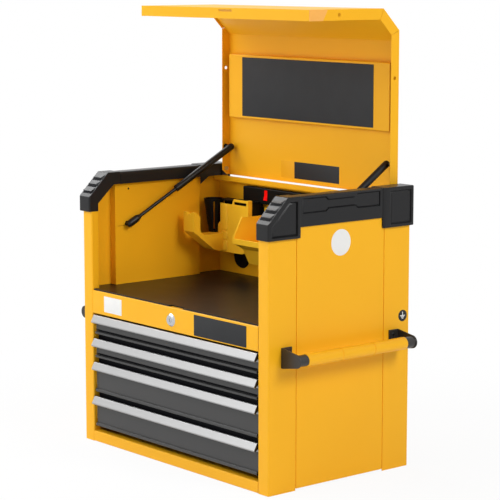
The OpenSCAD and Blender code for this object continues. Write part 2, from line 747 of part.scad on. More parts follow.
// Power strip on the rear panel, with a rocker switch and a row of outlets
module power_strip() {
    outlets = 6;
    step = 46;
    color(black) difference() {
        along_x(-strip_l / 2, strip_l / 2) polygon(bent([[back_y, strip_z0], [strip_y, strip_z0],
            [strip_y, strip_z0 + strip_h], [back_y, strip_z0 + strip_h]], 3));
        translate(rocker_at) {
            block([-rocker_w / 2 - play, -10, -rocker_h / 2 - 1],
                [rocker_w / 2 + play, 7, rocker_h / 2 + 1]);
            rod_x(1.5 + fit, -rocker_w / 2 - 1.5, rocker_w / 2 + 1.5);
        }
        for (k = [0 : outlets - 1])
            translate([rocker_x + 54 + k * step, strip_y, strip_z0 + strip_h / 2]) {
                rod_y(12.5, -eps, 1.5);
                for (x = [-6, 6]) block([x - 1, 0, -3], [x + 1, 9, 4.5]);
                translate([0, 0, -6.5]) rod_y(2.3, 0, 9);
            }
    }
}

module strip_rocker()
    color("#C20506") translate(rocker_at) {
        along_x(-rocker_w / 2, rocker_w / 2) rotate(-rocker_tilt) polygon([
            [-3, 0], [-4.6, rocker_h / 2 - 0.7], [0.6, rocker_h / 2 - 0.7], [3.4, 0],
            [0.6, -rocker_h / 2 + 0.7], [-4.6, -rocker_h / 2 + 0.7]]);
        rod_x(1.5, -rocker_w / 2 - 1.2, rocker_w / 2 + 1.2);
    }

// Accessories that hang on a bar across the rear panel
module accessory_bar()
    color(black) block([-bar_l / 2, bar_y, bar_z1 - bar_h], [bar_l / 2, back_y, bar_z1]);

module parts_bin() {
    t = bin_wall;
    rim = 3;
    drop = 16;                               // below the top of the bar
    z1 = bar_z1 - drop;
    z0 = z1 - bin_h;
    lip_y = bar_y - bin_d;
    brow_y = lip_y + 0.28 * bin_d;
    keel_y = lip_y + 0.48 * bin_d;
    chin_z = z0 + 0.33 * bin_h;
    lip_z = z0 + 0.46 * bin_h;
    lip_h = 13;
    lip = [[lip_y, lip_z], [lip_y, lip_z + lip_h]];
    edge = concat(lip, [[brow_y, z1]]);
    belly = [[bar_y, z0], [keel_y, z0], [brow_y, chin_z]];
    x1 = bin_x0 + bin_w;
    color(paint) {
        for (x = [bin_x0, x1 - t])
            along_x(x, x + t) polygon(concat(belly, edge, [[bar_y, z1]]));
        along_x(bin_x0, x1) polygon(ribbon(concat([[bar_y + bar_d - 1, bar_z1], [bar_y, bar_z1]],
            belly, lip), -t));
        // A rim runs up the front edges of both sides and along the lip
        for (x = [bin_x0 - rim, x1 - t]) along_x(x, x + rim + t) polygon(ribbon(edge, rim));
        along_x(bin_x0 - rim, x1 + rim) polygon(ribbon(lip, rim));
    }
}

// The holster is a black frame with a slit nose cup, and a yellow pocket with a forked arm
module holster_frame() {
    x = holster_x;
    z0 = pocket_z + 10;
    z1 = pocket_z + pocket_h - 4;
    rear_y = strip_y - play;
    t = 3;
    cup_r = [13, 24.5];
    cup = [x[0] - cup_r[1] - 0.5, pocket_y[0] + 1];
    cup_t = 2.5;
    slit = 4;
    hole = [x[0] + 14, rear_y - 8];
    hole_d = 10;
    color(black) difference() {
        union() {
            block([x[0], pocket_y[1], z0], [x[1], rear_y, z1]);
            block([x[0], pocket_y[1], z0], [x[1], bar_y, strip_z0 - play]);
            block([cup[0] + cup_r[1] / 2, cup[1] + cup_t, z1 - t], [hole[0] + 2 * hole_d, rear_y, z1]);
            translate([cup[0], cup[1], arm_z]) cylinder(r1 = cup_r[0], r2 = cup_r[1], h = z1 - arm_z);
        }
        block([x[0] + t, pocket_y[1] - eps, z0 + t], [x[1] - t, rear_y - t, z1 - t]);
        block([hole[0] + 2 * hole_d, pocket_y[1] - eps, z0 + t], [x[1] - t, rear_y - t, z1 + eps]);
        translate([cup[0], cup[1], arm_z + cup_t])
            cylinder(r1 = cup_r[0] - cup_t, r2 = cup_r[1] - cup_t, h = z1 - arm_z);
        for (a = [52, 232]) translate([cup[0], cup[1], 0]) rotate(a)
            block([-slit / 2, -cup_r[1] - eps, arm_z + 2 * cup_t], [slit / 2, 0, z1 - 2 * t]);
        translate([hole[0], hole[1], z1 - t - eps]) cylinder(d = hole_d, h = t + 2 * eps);
    }
}

module holster_pocket() {
    t = bin_wall;
    z0 = pocket_z;
    z1 = pocket_z + pocket_h;
    x = holster_x;
    foot_w = 9;                              // how far the lower part stands out
    foot_z = z0 + 64;
    corner = [8, 28];                        // radii of the two lower corners
    shoulder = [54, 13];                     // width and height of the raised part
    slot = [46, 7];
    slot_in = 6;                             // from the top and the right edge
    floor_t = 10;
    heel = [28, 6];                          // bend of the arm's underside
    nose_h = 54;
    fork_h = 100;
    fork_t = [6, 19];                        // at the tips and at the root
    crook_r = 18;
    notch_r = 11;
    color(paint) {
        difference() {
            along_y(pocket_y[0], pocket_y[1]) polygon(concat(
                [[x[0], z1 - shoulder[1]], [x[0], foot_z + foot_w], [x[0] - foot_w, foot_z]],
                arc([x[0] - foot_w + corner[0], z0 + corner[0]], corner[0], 180, 270),
                arc([x[1] - corner[1], z0 + corner[1]], corner[1], 270, 360, 8),
                [[x[1], z1], [x[1] - shoulder[0], z1], [x[1] - shoulder[0] - 6, z1 - shoulder[1]]]));
            block([x[0] + t, pocket_y[0] + t, z0 + floor_t],
                [x[1] - floor_t, pocket_y[1] + eps, z1 + eps]);
            block([x[1] - slot_in - slot[0], pocket_y[0] - eps, z1 - slot_in - slot[1]],
                [x[1] - slot_in, pocket_y[0] + t + eps, z1 - slot_in]);
        }
        difference() {
            along_x(arm_x[0], arm_x[1]) polygon(concat([[pocket_y[0], z0],
                [pocket_y[0] - heel[0], z0 + heel[1]], [fork_y, z0 + nose_h], [fork_y, z0 + fork_h],
                [fork_y + fork_t[0], z0 + fork_h], [fork_y + fork_t[1], z0 + fork_h - notch_r]],
                arc([fork_y + fork_t[1] + crook_r, arm_z + crook_r], crook_r, 180, 270),
                [[pocket_y[0], arm_z]]));
            translate([(arm_x[0] + arm_x[1]) / 2, 0, z0 + fork_h + 4])
                rod_y(notch_r, fork_y - eps, fork_y + fork_t[1] + eps);
        }
    }
}

module cable_grommet()
    color(black) translate([grommet_at[0], 0, grommet_at[1]]) difference() {
        union() {
            rotate([90, 0, 0]) translate([0, 0, -back_y])
                cylinder(d1 = grommet_d, d2 = grommet_d - 4, h = 3);
            rod_y(grommet_hole / 2 - fit, back_y, case_d + 1);
        }
        rod_y(grommet_hole / 2 - 4, back_y - 1.5, case_d + 1 + eps);
        // Lines where the rubber parts for a cable
        for (a = [0 : 60 : 120]) rotate([0, a, 0])
            block([-grommet_hole / 2 + 6, back_y - 4, -0.5], [grommet_hole / 2 - 6, back_y - 2.2, 0.5]);
    }

framed() side(-1) side_panel();  // left_side_panel
framed() side(1) side_panel();  // right_side_panel
framed() side(-1) front_post();  // left_front_post
framed() side(1) front_post();  // right_front_post
framed() side(-1) rear_post();  // left_rear_post
framed() side(1) rear_post();  // right_rear_post
framed() rear_panel();
framed() base_pan();
framed() bottom_rail();
framed() front_rail();
framed() till_deck();
framed() till_mat();
framed() side(-1) top_rail();  // left_top_rail
framed() side(1) top_rail();  // right_top_rail
framed() side(-1) front_cap();  // left_front_cap
framed() side(1) front_cap();  // right_front_cap
framed() side(-1) rear_cap();  // left_rear_cap
framed() side(1) rear_cap();  // right_rear_cap
framed() side(-1) handle_grip();  // left_handle_grip
framed() side(1) handle_grip();  // right_handle_grip
framed() side(-1) handle_brackets();  // left_handle_brackets
framed() side(1) handle_brackets();  // right_handle_brackets
framed() rear_slide_posts();
framed() slide_outer_rails();
for (i = drawers) {
    framed() drawer_box(i);
    framed() drawer_front(i);
    framed() drawer_pull(i);
    framed() middle_rails(i);
}
framed() lid_shell();
framed() lid_stiffener();
framed() lid_ball_studs();
framed() hinge_brackets();
framed() hinge_pins();
framed() wall_ball_studs();
framed() side(-1) strut_rod();  // left_strut_rod
framed() side(1) strut_rod();  // right_strut_rod
framed() side(-1) strut_barrel();  // left_strut_barrel
framed() side(1) strut_barrel();  // right_strut_barrel
framed() lock_housing();
framed() lock_plug();
framed() lock_cam();
framed() power_strip();
framed() strip_rocker();
framed() accessory_bar();
framed() holster_frame();
framed() holster_pocket();
framed() parts_bin();
framed() cable_grommet();
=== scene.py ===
import json
import math

import bmesh
import bpy
import numpy as np
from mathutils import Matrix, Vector

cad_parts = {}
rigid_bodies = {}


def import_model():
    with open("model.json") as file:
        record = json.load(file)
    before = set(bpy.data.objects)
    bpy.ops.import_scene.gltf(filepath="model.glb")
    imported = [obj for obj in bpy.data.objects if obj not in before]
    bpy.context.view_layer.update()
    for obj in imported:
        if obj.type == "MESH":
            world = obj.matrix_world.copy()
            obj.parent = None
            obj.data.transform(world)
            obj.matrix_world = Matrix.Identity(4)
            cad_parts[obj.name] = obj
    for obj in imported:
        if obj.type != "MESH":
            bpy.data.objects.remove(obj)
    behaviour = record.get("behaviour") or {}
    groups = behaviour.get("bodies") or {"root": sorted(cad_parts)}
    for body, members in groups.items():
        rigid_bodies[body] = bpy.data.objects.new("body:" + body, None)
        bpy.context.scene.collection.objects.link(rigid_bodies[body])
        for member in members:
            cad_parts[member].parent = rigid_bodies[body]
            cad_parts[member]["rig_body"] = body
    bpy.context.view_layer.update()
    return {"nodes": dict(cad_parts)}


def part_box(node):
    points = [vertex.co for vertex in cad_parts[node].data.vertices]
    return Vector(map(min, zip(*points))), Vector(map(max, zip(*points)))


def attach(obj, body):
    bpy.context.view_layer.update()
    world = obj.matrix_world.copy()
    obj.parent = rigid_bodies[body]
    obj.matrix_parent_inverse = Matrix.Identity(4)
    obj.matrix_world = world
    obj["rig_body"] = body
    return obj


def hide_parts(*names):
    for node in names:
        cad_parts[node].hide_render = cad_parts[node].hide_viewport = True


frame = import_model()
nodes = frame["nodes"]
mm = 0.001


# Nodes and colours
def hexLinear(code):  # sRGB hex to linear RGBA
    srgb = np.array([int(code[i:i + 2], 16) for i in (1, 3, 5)]) / 255
    linear = np.where(srgb <= 0.04045, srgb / 12.92, ((srgb + 0.055) / 1.055) ** 2.4)
    return (*linear.tolist(), 1.0)


def addNode(tree, kind, inputs=None, **settings):  # a socket as an input value makes a link
    node = tree.nodes.new(kind)
    for name, value in settings.items():
        setattr(node, name, value)
    for name, value in (inputs or {}).items():
        if isinstance(value, bpy.types.NodeSocket):
            tree.links.new(value, node.inputs[name])
        else:
            node.inputs[name].default_value = value
    return node


def newFinish(name, **surface):  # a material, its node tree, its shader and its Object coordinates
    material = bpy.data.materials.new(name)
    material.use_nodes = True
    tree = material.node_tree
    shader = tree.nodes["Principled BSDF"]
    for socket, value in surface.items():
        shader.inputs[socket.replace("_", " ")].default_value = value
    place = addNode(tree, "ShaderNodeTexCoord").outputs["Object"]
    return material, tree, shader, place


coat = {"cloud": 180, "peel": 3, "peelDepth": 0.15}  # mm


def powderCoat(name, light, dark, gloss, shine):
    # polyester powder baked on sheet steel: even colour with a soft orange-peel ripple
    # the ripple is about 1.5 mm wide on the real coat and is drawn 3 mm wide so that it shows
    material, tree, shader, place = newFinish(name, Roughness=gloss, IOR=1.5, Specular_IOR_Level=shine)
    drift = addNode(tree, "ShaderNodeTexNoise", {"Vector": place, "Scale": 1 / (coat["cloud"] * mm),
                                                 "Detail": 3.0})
    tint = addNode(tree, "ShaderNodeMixRGB", {"Fac": drift.outputs["Fac"], "Color1": hexLinear(light),
                                              "Color2": hexLinear(dark)})
    tree.links.new(tint.outputs["Color"], shader.inputs["Base Color"])
    peel = addNode(tree, "ShaderNodeTexNoise", {"Vector": place, "Scale": 1 / (coat["peel"] * mm),
                                                "Detail": 1.5})
    ripple = addNode(tree, "ShaderNodeBump", {"Height": peel.outputs["Fac"], "Strength": 0.12,
                                              "Distance": coat["peelDepth"] * mm})
    tree.links.new(ripple.outputs["Normal"], shader.inputs["Normal"])
    return material


moulding = {"cloud": 90, "grain": 1.6, "grainDepth": 0.12}  # mm


def mouldedPlastic(name, light, dark, gloss, shine):
    # injection moulded polypropylene or its like: spark-eroded grain that spreads the highlights
    material, tree, shader, place = newFinish(name, Roughness=gloss, IOR=1.49, Specular_IOR_Level=shine)
    drift = addNode(tree, "ShaderNodeTexNoise", {"Vector": place, "Scale": 1 / (moulding["cloud"] * mm),
                                                 "Detail": 2.0})
    tint = addNode(tree, "ShaderNodeMixRGB", {"Fac": drift.outputs["Fac"], "Color1": hexLinear(light),
                                              "Color2": hexLinear(dark)})
    tree.links.new(tint.outputs["Color"], shader.inputs["Base Color"])
    cells = addNode(tree, "ShaderNodeTexVoronoi", {"Vector": place, "Scale": 1 / (moulding["grain"] * mm)})
    pits = addNode(tree, "ShaderNodeBump", {"Height": cells.outputs["Distance"], "Strength": 0.15,
                                            "Distance": moulding["grainDepth"] * mm})
    tree.links.new(pits.outputs["Normal"], shader.inputs["Normal"])
    return material


brushing = {"length": 160, "depth": 0.05, "spread": 0.06}  # mm, and the swing of the roughness


def brushedMetal(name, tone, gloss, streak):
    # drawn or extruded metal: fine lines along X, streak is their spacing in mm
    material, tree, shader, place = newFinish(name, Metallic=1.0, Base_Color=hexLinear(tone))
    along, across = 1 / (brushing["length"] * mm), 1 / (streak * mm)
    lie = addNode(tree, "ShaderNodeMapping", {"Vector": place, "Scale": (along, across, across)})
    lines = addNode(tree, "ShaderNodeTexNoise", {"Vector": lie.outputs["Vector"], "Scale": 1.0,
                                                 "Detail": 2.0})
    spread = addNode(tree, "ShaderNodeMapRange", {"Value": lines.outputs["Fac"],
                                                  "To Min": gloss - brushing["spread"],
                                                  "To Max": gloss + brushing["spread"]})
    tree.links.new(spread.outputs["Result"], shader.inputs["Roughness"])
    scratches = addNode(tree, "ShaderNodeBump", {"Height": lines.outputs["Fac"], "Strength": 0.1,
                                                 "Distance": brushing["depth"] * mm})
    tree.links.new(scratches.outputs["Normal"], shader.inputs["Normal"])
    return material


sheet = {"cloud": 70, "cloth": 2, "clothDepth": 0.1, "spread": 0.03}  # mm, and the swing of the roughness


def rubberSheet(name, light, dark, gloss):
    # calendered rubber: dense, nearly smooth, with a faint cloth print
    material, tree, shader, place = newFinish(name, IOR=1.52, Specular_IOR_Level=0.26)
    drift = addNode(tree, "ShaderNodeTexNoise", {"Vector": place, "Scale": 1 / (sheet["cloud"] * mm),
                                                 "Detail": 4.0})
    tint = addNode(tree, "ShaderNodeMixRGB", {"Fac": drift.outputs["Fac"], "Color1": hexLinear(light),
                                              "Color2": hexLinear(dark)})
    tree.links.new(tint.outputs["Color"], shader.inputs["Base Color"])
    haze = addNode(tree, "ShaderNodeMapRange", {"Value": drift.outputs["Fac"],
                                                "To Min": gloss - sheet["spread"],
                                                "To Max": gloss + sheet["spread"]})
    tree.links.new(haze.outputs["Result"], shader.inputs["Roughness"])
    cloth = addNode(tree, "ShaderNodeTexNoise", {"Vector": place, "Scale": 1 / (sheet["cloth"] * mm),
                                                 "Detail": 1.0})
    nap = addNode(tree, "ShaderNodeBump", {"Height": cloth.outputs["Fac"], "Strength": 0.05,
                                           "Distance": sheet["clothDepth"] * mm})
    tree.links.new(nap.outputs["Normal"], shader.inputs["Normal"])
    return material


film = {"cloud": 40, "spread": 0.05}  # mm, and the swing of the roughness


def vinylFilm(name, light, dark, gloss):
    # cast vinyl with a clear top film: flat colour, a faint cloud and the haze of the film
    material, tree, shader, place = newFinish(name, IOR=1.48, Specular_IOR_Level=0.3)
    cloud = addNode(tree, "ShaderNodeTexNoise", {"Vector": place, "Scale": 1 / (film["cloud"] * mm),
                                                 "Detail": 3.0})
    tint = addNode(tree, "ShaderNodeMixRGB", {"Fac": cloud.outputs["Fac"], "Color1": hexLinear(light),
                                              "Color2": hexLinear(dark)})
    tree.links.new(tint.outputs["Color"], shader.inputs["Base Color"])
    haze = addNode(tree, "ShaderNodeMapRange", {"Value": cloud.outputs["Fac"],
                                                "To Min": gloss - film["spread"],
                                                "To Max": gloss + film["spread"]})
    tree.links.new(haze.outputs["Result"], shader.inputs["Roughness"])
    return material


finishes = {  # two tones, roughness and shine; a metal has one tone, roughness and line spacing
    "yellow_powder_coat": powderCoat("yellowPowderCoat", "#FBB91C", "#F8B419", 0.42, 0.25),
    # a paler copy of the yellow coat: a painted reflection on the lid's lapped tabs
    "pale_reflection_coat": powderCoat("paleReflectionCoat", "#FCB75A", "#F9B356", 0.42, 0.25),
    "grey_powder_coat": powderCoat("greyPowderCoat", "#424242", "#3E3E3E", 0.34, 0.30),
    "black_plastic": mouldedPlastic("blackPolypropylene", "#242425", "#202021", 0.30, 0.19),
    "black_abs": mouldedPlastic("blackAbs", "#151413", "#121110", 0.40, 0.06),
    "yellow_plastic": mouldedPlastic("yellowPolypropylene", "#FFCA2E", "#FCC529", 0.42, 0.25),
    "red_plastic": mouldedPlastic("redPolycarbonate", "#FF0505", "#FA0303", 0.30, 0.20),
    "black_rubber": rubberSheet("blackRubber", "#121110", "#0F0E0D", 0.36),
    "black_enamel": powderCoat("blackEnamel", "#1A1918", "#161514", 0.32, 0.22),
    "satin_enamel": powderCoat("satinEnamel", "#2B2927", "#272523", 0.34, 0.42),
    # a near-black matt coat: the cross rails and wall plugs, and the painted shade strips in the gutters
    # and under the finger pads
    "matt_enamel_and_shade": powderCoat("mattEnamelAndShade", "#0D0D12", "#0A0A0F", 0.60, 0.08),
    "satin_aluminium": brushedMetal("satinAluminium", "#A3A3A3", 0.42, 1.5),
    "zinc_steel": brushedMetal("zincSteel", "#C4C6C8", 0.34, 1.5),
    "polished_chrome": brushedMetal("polishedChrome", "#C4C5C7", 0.24, 2.0),
    "dark_vinyl": vinylFilm("darkVinyl", "#232426", "#1F2022", 0.5),
    "yellow_vinyl": vinylFilm("yellowVinyl", "#F4B01A", "#F0AB16", 0.45),
    "pale_vinyl": vinylFilm("paleVinyl", "#F2F2F0", "#E9E9E7", 0.45),
}
print("finishes:", len(finishes))


# Rounded copies of the CAD nodes
rounding = {  # edge radius in mm, by node
    "left_front_cap": 2.0, "right_front_cap": 2.0, "left_rear_cap": 3.5, "right_rear_cap": 3.5,
    "left_top_rail": 1.0, "right_top_rail": 1.0,
    "left_handle_brackets": 0.8, "right_handle_brackets": 0.8,
    "front_rail": 0.5, "bottom_rail": 0.5, "left_front_post": 0.5, "right_front_post": 0.5,
    "holster_frame": 0.8, "holster_pocket": 0.8, "parts_bin": 0.6, "accessory_bar": 0.8,
    "lock_housing": 0.5, "lock_plug": 0.3, "strip_rocker": 0.5,
    "drawer_1_pull": 0.4, "drawer_2_pull": 0.4, "drawer_3_pull": 0.4, "drawer_4_pull": 0.4,
}
capGroove = (4.6, 2.6, 1.0)  # width, extra depth and lift of the panel inside it, in mm
railGroove = (3.4, 1.6, 1.2)
grooves = {
    "left_front_cap": capGroove, "right_front_cap": capGroove,
    "left_rear_cap": capGroove, "right_rear_cap": capGroove,
    "left_top_rail": railGroove, "right_top_rail": railGroove,
}
recess = {"square": 0.99, "least": 1.0, "most": 4.0}  # how a grooved panel is found: facing, depth in mm
gutter = {  # over the bead of a shallow drawer, in mm: base is over the front's lowest edge
    "base": 6.2, "wide": 5.6, "deep": 9.0, "reach": -193.0,
    "cuts": (0.0, 0.12, 0.88, 1.0), "pressed": (0.1, 0.9),  # shares of its width
    "nodes": ("drawer_1_front", "drawer_2_front", "drawer_1_box", "drawer_2_box"),
}
special = {  # nodes whose finish is not their slot's own
    "power_strip": "black_abs", "accessory_bar": "black_abs", "holster_frame": "black_abs",
    "cable_grommet": "black_abs", "left_handle_brackets": "satin_enamel",
    "right_handle_brackets": "satin_enamel",
}
edgePlan = {"weld": 0.002, "flat": 0.4, "sharp": 33.0, "smooth": 38.0, "steps": 2}  # mm and degrees


def slotOf(node):
    return nodes[node].material_slots[0].material.name


def hardGroups(shell):  # hard edges in groups that share no vertex, each with room for its own radius
    sharp = math.radians(edgePlan["sharp"])
    shell.edges.index_update()
    left = {e.index: e for e in shell.edges if len(e.link_faces) == 2 and e.calc_face_angle() > sharp}
    groups = []
    while left:
        group = [left.pop(min(left))]
        for edge in group:
            near = [e.index for v in edge.verts for e in v.link_edges if e.index in left]
            group.extend(left.pop(index) for index in sorted(set(near)))
        groups.append(group)
    return groups


def groovePanel(shell, wide, deep, lift):  # a V groove round a lifted panel in each recess, in mm
    reach = max(abs(v.co.x) for v in shell.verts)
    for face in list(shell.faces):
        middle = face.calc_center_median()
        outward = face.normal.x * middle.x > recess["square"] * abs(middle.x)
        if outward and recess["least"] * mm < reach - abs(middle.x) < recess["most"] * mm:
            foot = list(face.verts)
            bmesh.ops.inset_individual(shell, faces=[face], thickness=wide * mm, use_even_offset=True)
            for vert in foot:
                vert.co.x -= math.copysign(deep * mm, middle.x)
            for vert in face.verts:
                vert.co.x += math.copysign(lift * mm, middle.x)


def pressGutter(shell, base):  # the sheet in front of reach, pressed back in a band over base
    wide = gutter["wide"]
    for share in gutter["cuts"]:
        bmesh.ops.bisect_plane(shell, geom=list(shell.verts) + list(shell.edges) + list(shell.faces),
                               plane_co=(0, 0, (base + share * wide) * mm), plane_no=(0, 0, 1))
    low, high = gutter["pressed"]
    for vert in shell.verts:
        if vert.co.y < gutter["reach"] * mm and low * wide < vert.co.z / mm - base < high * wide:
            vert.co.y += gutter["deep"] * mm


def dress(node, radius):  # a welded copy with rounded edges and smooth bends stands for the node
    shell = bmesh.new()
    shell.from_mesh(nodes[node].data)
    bmesh.ops.remove_doubles(shell, verts=shell.verts, dist=edgePlan["weld"] * mm)
    bmesh.ops.dissolve_limit(shell, angle_limit=math.radians(edgePlan["flat"]), verts=shell.verts,
                             edges=shell.edges)
    if node in grooves:
        groovePanel(shell, *grooves[node])
    if node in gutter["nodes"]:
        pressGutter(shell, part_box(node[:8] + "_front")[0][2] / mm + gutter["base"])
    for group in hardGroups(shell) if radius else []:
        bmesh.ops.bevel(shell, geom=group, offset=radius * mm, offset_type="OFFSET", affect="EDGES",
                        segments=edgePlan["steps"], profile=0.5, clamp_overlap=True)
    mesh = bpy.data.meshes.new(node + "_finish")
    shell.to_mesh(mesh)
    shell.free()
    for layer in ("custom_normal", "sharp_face", "sharp_edge"):
        if layer in mesh.attributes:
            mesh.attributes.remove(mesh.attributes[layer])
    mesh.materials.clear()
    mesh.materials.append(finishes[special.get(node, slotOf(node))])
    mesh.shade_smooth()
    mesh.set_sharp_from_angle(angle=math.radians(edgePlan["smooth"]))
    piece = bpy.data.objects.new(node + "_finish", mesh)
    bpy.context.scene.collection.objects.link(piece)
    even = piece.modifiers.new("even", "WEIGHTED_NORMAL")
    even.keep_sharp = True
    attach(piece, nodes[node]["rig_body"])
    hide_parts(node)


slots = {node: slotOf(node) for node in nodes}
for node in sorted(nodes):
    dress(node, rounding.get(node, 0))
for node, slot in slots.items():
    nodes[node].material_slots[0].material = finishes[special.get(node, slot)]
print("dressed:", len(slots), "nodes")


# Plates, labels and screws: rings of points stacked out of a face, all arrays in mm
slant = math.sqrt(0.5)
facings = {  # across, up and out of each face
    "front": ((1, 0, 0), (0, 0, 1), (0, -1, 0)),
    "right": ((0, 1, 0), (0, 0, 1), (1, 0, 0)),
    "left": ((0, -1, 0), (0, 0, 1), (-1, 0, 0)),
    "rear": ((-1, 0, 0), (0, 0, 1), (0, 1, 0)),
    "slope": ((1, 0, 0), (0, slant, slant), (0, -slant, slant)),
}
gridPlan = {"cornerSteps": 8, "edgeSteps": 4, "bendSteps": 5, "sunk": 0.2, "soft": 0.45}  # mm and shares


def unitCircle(columns):  # cos and sin of even steps round
    turn = 2 * math.pi * np.arange(columns) / columns
    return np.column_stack([np.cos(turn), np.sin(turn)])


def roundedOutline(halfWide, halfHigh, corner):
    # four quarter circles of radius corner about centres set in from the corners of a rectangle
    angle = np.linspace(0, math.pi / 2, gridPlan["cornerSteps"]) + math.pi / 2 * np.arange(4)[:, None]
    x = np.array([1, -1, -1, 1])[:, None] * (halfWide - corner) + corner * np.cos(angle)
    y = np.array([1, 1, -1, -1])[:, None] * (halfHigh - corner) + corner * np.sin(angle)
    return np.column_stack([x.ravel(), y.ravel()])


def stacked(layers):  # (outline, height) pairs to a grid of rows, columns and xyz
    rings = [np.column_stack([outline, np.full(len(outline), height)]) for outline, height in layers]
    return np.stack(rings)


def plateGrid(halfWide, halfHigh, corner, thick):
    # straight sides, then an edge rounded by a quarter circle of radius s, a share of the thickness t:
    # inset s(1 - sin a), height t - s(1 - cos a)
    soft = gridPlan["soft"] * thick
    turn = np.linspace(math.pi / 2, 0, gridPlan["edgeSteps"])
    inset = soft * (1 - np.sin(turn))
    height = thick - soft * (1 - np.cos(turn))
    rows = [(0, -gridPlan["sunk"])] + list(zip(inset, height))
    return stacked([(roundedOutline(halfWide - d, halfHigh - d, corner - d), h) for d, h in rows])


def softCorners(corners, radius):
    # a corner c becomes the curve (1 - t)^2 a + 2 t (1 - t) c + t^2 b, with a and b on its two sides
    corners = np.array(corners, dtype=float)
    along = np.roll(corners, -1, axis=0) - corners
    along /= np.linalg.norm(along, axis=1)[:, None]
    before = (corners - radius * np.roll(along, 1, axis=0))[:, None]
    after = (corners + radius * along)[:, None]
    t = np.linspace(0, 1, gridPlan["bendSteps"])[None, :, None]
    curve = (1 - t) ** 2 * before + 2 * t * (1 - t) * corners[:, None] + t ** 2 * after
    return curve.reshape(-1, 2)


def newPiece(name, grid, facing, middle, finish, body):
    # quads join each ring to the next, and one face closes the first ring and the last
    rows, columns = grid.shape[:2]
    row, column = np.meshgrid(np.arange(rows - 1) * columns, np.arange(columns), indexing="ij")
    after = (column + 1) % columns
    above = row + columns
    quads = np.stack([row + column, row + after, above + after, above + column], axis=-1)
    ends = [list(range(columns))[::-1], list(range((rows - 1) * columns, rows * columns))]
    points = (grid.reshape(-1, 3) @ np.array(facings[facing], dtype=float) + np.array(middle)) * mm
    mesh = bpy.data.meshes.new(name)
    mesh.from_pydata(points.tolist(), [], quads.reshape(-1, 4).tolist() + ends)
    mesh.materials.append(finishes[finish])
    mesh.shade_smooth()
    mesh.set_sharp_from_angle(angle=math.radians(edgePlan["smooth"]))
    piece = bpy.data.objects.new(name, mesh)
    bpy.context.scene.collection.objects.link(piece)
    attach(piece, body)


def newPlate(name, plan, facing, finish, body):  # size is half width, half height, corner and thickness
    newPiece(name, plateGrid(*plan["size"]), facing, plan["middle"], finish, body)


def faceAt(node, corner, axis):  # where a node's box ends along an axis, in mm
    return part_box(node)[corner][axis] / mm


lidSheet, hatDepth = 1.2, 12.0  # thickness of the lid's sheet and depth of its stiffener, in mm
railFace = faceAt("front_rail", 0, 1)
sideFace = faceAt("right_rear_post", 1, 0)
lidFace = faceAt("lid_shell", 1, 1) - lidSheet  # inside the lid sheet
hatFace = lidFace - hatDepth  # front of the stiffener
lidPlate = {"middle": (-0.5, hatFace, 813.5), "size": (225.5, 69.5, 1.5, 0.8)}
newPlate("lidPlate", lidPlate, "front", "dark_vinyl", "lid")
railPlate = {"middle": (170.3, railFace, 329.1), "size": (88.4, 22.9, 2.0, 0.8)}
newPlate("railPlate", railPlate, "front", "dark_vinyl", "case")
lidLabel = {"middle": (25.7, lidFace, 627.4), "size": (76.8, 19.5, 1.0, 0.25)}
newPlate("lidLabel", lidLabel, "front", "dark_vinyl", "lid")
labelEnd = {"middle": (-75.1, lidFace, 627.4), "size": (23.7, 19.5, 1.0, 0.25)}
newPlate("lidLabelEnd", labelEnd, "front", "yellow_vinyl", "lid")
railLabel = {"middle": (-217.1, railFace, 330.0), "size": (33.9, 18.4, 1.5, 0.25)}
newPlate("railLabel", railLabel, "front", "pale_vinyl", "case")
sideLabel = {"middle": (sideFace, -1.0, 518.6), "size": (27.5, 28.4, 27.4, 0.25)}
newPlate("sideLabel", sideLabel, "right", "pale_vinyl", "case")
earthLabel = {"middle": (sideFace, 183.4, 339.8), "size": (12.8, 12.8, 12.8, 0.25)}
newPlate("earthLabel", earthLabel, "right", "dark_vinyl", "case")

earthMark = {  # a stem over three bars, each shorter: half widths, half heights and steps down in mm
    "stem": (1.1, 4.4), "stemUp": 4.2, "bars": (7.2, 4.8, 2.4), "half": 1.0, "step": 2.9,
    "corner": 0.3, "thick": 0.4,
}
strokes = [(*earthMark["stem"], earthMark["stemUp"])]
for count, long in enumerate(earthMark["bars"]):
    strokes.append((long, earthMark["half"], -earthMark["step"] * count))
for count, (halfWide, halfHigh, up) in enumerate(strokes):
    grid = plateGrid(halfWide, halfHigh, earthMark["corner"], earthMark["thick"])
    middle = np.array(earthLabel["middle"]) + (0, 0, up)
    newPiece(f"earthMark{count + 1}", grid, "right", middle, "pale_vinyl", "case")

lidTab = {  # end of the lid's front flange, lapped round the side, seen from the right; its paler coat is a painted reflection
    "corners": [(-58.4, 982.6), (-19.7, 982.6), (-6.9, 1006.0), (-58.4, 1006.0)],
    "corner": 1.2, "thick": 0.7,
}
pullEndShade = {  # a black plate over an end of a pull, from the bend at the top of its face: painted shade for the gap between the pull's end and the post
    "corners": [(5.0, -10.0), (5.0, -0.7), (-0.2, -0.7), (-7.3, -15.6), (-5.2, -18.2)],
    "corner": 0.9, "thick": 0.8, "bend": 8.0,
}


endRim = {"sunk": 0.3, "shoulder": 0.7, "taper": 0.985}  # mm, and shares of the thickness and the outline


def endPlates(name, plan, end, start, finish, body):
    # the same plate on the left end and the right: straight sides to the shoulder, then a tapered rim
    middle = np.mean(plan["corners"], axis=0)
    thick = plan["thick"]
    for side, sign in (("left", -1), ("right", 1)):
        outline = (softCorners(plan["corners"], plan["corner"]) - middle)[::sign] * (sign, 1)
        layers = [(outline, -endRim["sunk"]), (outline, endRim["shoulder"] * thick),
                  (outline * endRim["taper"], thick)]
        place = (sign * end, start[0] + middle[0], start[1] + middle[1])
        newPiece(side + name, stacked(layers), side, place, finish, body)


